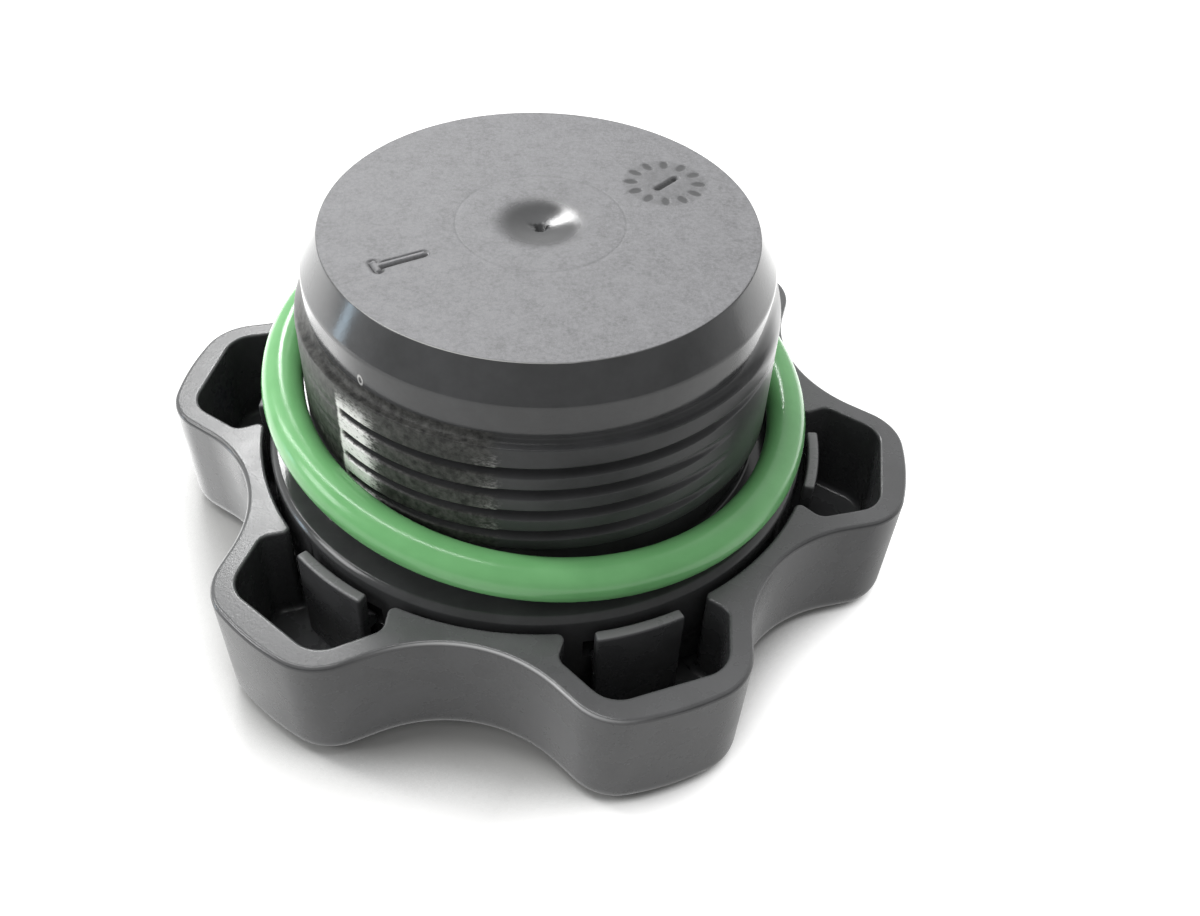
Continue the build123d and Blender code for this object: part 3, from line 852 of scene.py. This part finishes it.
# In the ring's own frame one axis climbs towards the high side, one lies level, and one is the ring's axis
across_ring = (RING_MEAN_RADIUS + (RING_SECTION_RADIUS + flash) * np.cos(ring_v)) * np.exp(1j * ring_u)
above_ring = (RING_SECTION_RADIUS + flash) * np.sin(ring_v)
level_place = (
    across_ring.real * np.cos(RING_TILT) - above_ring * np.sin(RING_TILT) - ring_slide + 1j * across_ring.imag
) * RING_HIGH_WAY
ring_height = ring_middle_height + across_ring.real * np.sin(RING_TILT) + above_ring * np.cos(RING_TILT)
ring_points = np.stack((level_place.real, level_place.imag, ring_height), axis=-1).reshape(-1, 3)
ring_ids = np.arange(ring_u.size).reshape(ring_u.shape)
next_u = np.roll(ring_ids, -1, axis=0)
next_v = np.roll(ring_ids, -1, axis=1)
next_both = np.roll(next_u, -1, axis=1)
ring_faces = np.stack((ring_ids, next_u, next_both, next_v), axis=-1).reshape(-1, 4)

ring_rubber, tree, place = new_finish("ring_rubber")
haze = clouds(tree, place, 2.5, detail=3.0)
skin_grain = clouds(tree, place, 0.35, detail=2.0)
colour = blend_colour(tree, between(tree, haze, 0, 1), *RING_GREENS)
coat(tree, colour, between(tree, haze, 0.17, 0.24), bumps(tree, skin_grain, 0.006))

sealing_ring = put("sealing_ring_rubber", ring_points, ring_faces.tolist(), ring_rubber)
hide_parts("sealing_ring")
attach(sealing_ring, "root")

# Floor: a plain white table top. To the camera and in reflections it glows, as in a light tent, but less the
# nearer it is to the cap, so that it keeps the cap's soft shadow, which is paler to the right. In reflections
# it glows most behind the cap and to its left, where the brightest lamp is.
FLOOR_REACH = 3000.0
FLOOR_GLOW = 1.0
FRONT_MIRRORED = 0.45
BACK_MIRRORED = 2.0
BACK_WAY = Vector((-0.334, 0.943, 0.0))
RIGHT_WAY = Vector((0.94, -0.34, 0.0))
SHADOW_REACH = 25.0
SHADOW_BLACK = 0.53
SHADOW_WHITE = 0.86
RIGHT_LIFT = 0.30
RIGHT_LIFT_START = 15.0
RIGHT_LIFT_END = 35.0
BACK_START = -6.0
BACK_END = 12.0
FLOOR_WHITE = (0.65, 0.65, 0.64, 1)
FLOOR_SHADED = (0.5, 0.5, 0.49, 1)

floor_mesh = bpy.data.meshes.new("floor")
floor_corners = np.array(((-1, -1, 0), (1, -1, 0), (1, 1, 0), (-1, 1, 0))) * FLOOR_REACH * MM
floor_mesh.from_pydata(floor_corners.tolist(), [], [(0, 1, 2, 3)])
floor_white = bpy.data.materials.new("floor_white")
floor_white.use_nodes = True
tree = floor_white.node_tree
shader = tree.nodes["Principled BSDF"]
shader.inputs["Roughness"].default_value = 0.9
shader.inputs["Specular IOR Level"].default_value = 0.1
shader.inputs["Emission Color"].default_value = (1, 1, 1, 1)


def seen(tree):
    """One for rays from the camera, from a gloss or through glass, and nought for light that lands."""
    rays = knot(tree, "ShaderNodeLightPath").outputs
    mirrored_or_straight = reckon(tree, "MAXIMUM", rays["Is Camera Ray"], rays["Is Glossy Ray"])
    return reckon(tree, "MAXIMUM", mirrored_or_straight, rays["Is Transmission Ray"])


openness = knot(tree, "ShaderNodeAmbientOcclusion", {"Distance": SHADOW_REACH * MM}, samples=16).outputs["AO"]
floor_place = knot(tree, "ShaderNodeTexCoord").outputs["Object"]
rightward = along_way(tree, floor_place, RIGHT_WAY)
lift = between(tree, rightward, 0.0, RIGHT_LIFT, RIGHT_LIFT_START * MM, RIGHT_LIFT_END * MM)
lifted = reckon(tree, "ADD", openness, lift)
glow = between(tree, lifted, 0.0, FLOOR_GLOW, SHADOW_BLACK, SHADOW_WHITE)
backward = along_way(tree, floor_place, BACK_WAY)
mirrored_glow = between(tree, backward, FRONT_MIRRORED, BACK_MIRRORED, BACK_START * MM, BACK_END * MM)
rays = knot(tree, "ShaderNodeLightPath").outputs
glow = blend_value(tree, rays["Is Glossy Ray"], glow, mirrored_glow)
tree.links.new(reckon(tree, "MULTIPLY", seen(tree), glow), shader.inputs["Emission Strength"])
floor_colour = blend_colour(tree, rays["Is Camera Ray"], FLOOR_WHITE, FLOOR_SHADED)
tree.links.new(floor_colour, shader.inputs["Base Color"])
floor_mesh.materials.append(floor_white)
floor = bpy.data.objects.new("floor", floor_mesh)
bpy.context.scene.collection.objects.link(floor)

# Light: a white tent all round, whose front side is open, so that it shows dark in the gloss. A small bright
# lamp hangs at the back left, a tall one at the left, a wide dim one at the front left, and a small bluish
# window stands low at the left.
TENT_LIGHT = 0.85
OPENING_LIGHT = 0.30
OPENING_SHARE = 0.5
OPENING_EDGE = 0.35
LAMP_AIM_HEIGHT = 15.0


def heading(azimuth, elevation):
    """The way from the cap towards that azimuth and elevation, in degrees."""
    turn, lift = np.radians(azimuth), np.radians(elevation)
    return Vector((np.cos(turn) * np.cos(lift), np.sin(turn) * np.cos(lift), np.sin(lift)))


scene = bpy.context.scene
world = bpy.data.worlds.new("white_tent")
scene.world = world
world.use_nodes = True
tree = world.node_tree
background = tree.nodes["Background"]
background.inputs["Color"].default_value = (1, 1, 1, 1)
sky_place = knot(tree, "ShaderNodeTexCoord").outputs["Generated"]
opening_way = heading(-79, 32)
frontness = along_way(tree, sky_place, opening_way)
cloth = between(tree, frontness, 1.0, OPENING_LIGHT, 0.0, OPENING_EDGE)
landing = between(tree, frontness, TENT_LIGHT, OPENING_SHARE * TENT_LIGHT, 0.0, OPENING_EDGE)
rays = knot(tree, "ShaderNodeLightPath").outputs
sky = blend_value(tree, rays["Is Glossy Ray"], landing, cloth)
clear = reckon(tree, "MAXIMUM", rays["Is Camera Ray"], rays["Is Transmission Ray"])
tree.links.new(blend_value(tree, clear, sky, 1.0), background.inputs["Strength"])


def soft_light(name, way, distance, width, height, brightness, colour=(1, 1, 1)):
    """An oblong light that looks at the cap from that way and distance. Its power is its brightness, where 1
    is the white of the tent, times pi and the area of its face."""
    data = bpy.data.lights.new(name, "AREA")
    data.shape = "RECTANGLE"
    data.size = width * MM
    data.size_y = height * MM
    data.energy = brightness * np.pi * width * height * MM**2
    data.color = colour
    lamp = bpy.data.objects.new(name, data)
    lamp.location = way * distance * MM + Vector((0, 0, LAMP_AIM_HEIGHT * MM))
    lamp.rotation_mode = "QUATERNION"
    lamp.rotation_quaternion = way.to_track_quat("Z", "Y")
    scene.collection.objects.link(lamp)


soft_light("lamp_back_left", heading(119, 43.5), 500, 100, 100, 25)
soft_light("strip_left", heading(172, 60), 500, 50, 600, 14)
soft_light("lamp_front_left", heading(-158, 28), 500, 160, 160, 7)
soft_light("window_left", heading(187, 4), 600, 45, 110, 7, (0.62, 0.83, 1.0))

# Camera: it stands in front of the cap and looks down on it, with its head tilted a little.
CAMERA_PLACE = Vector((16.42, -83.30, 89.95))
CAMERA_AIM = Vector((6.66, -4.28, 12.5))
CAMERA_ROLL = np.radians(3.52)
CAMERA_LENS = 36.0

camera_data = bpy.data.cameras.new("photo_camera")
camera_data.lens = CAMERA_LENS
camera_data.sensor_width = 36.0
camera_data.clip_start = 0.005
camera = bpy.data.objects.new("photo_camera", camera_data)
camera.location = CAMERA_PLACE * MM
camera.rotation_mode = "QUATERNION"
level_sight = (CAMERA_AIM - CAMERA_PLACE).to_track_quat("-Z", "Y")
camera.rotation_quaternion = level_sight @ Euler((0, 0, CAMERA_ROLL)).to_quaternion()
scene.collection.objects.link(camera)
scene.camera = camera
scene.view_settings.view_transform = "Standard"
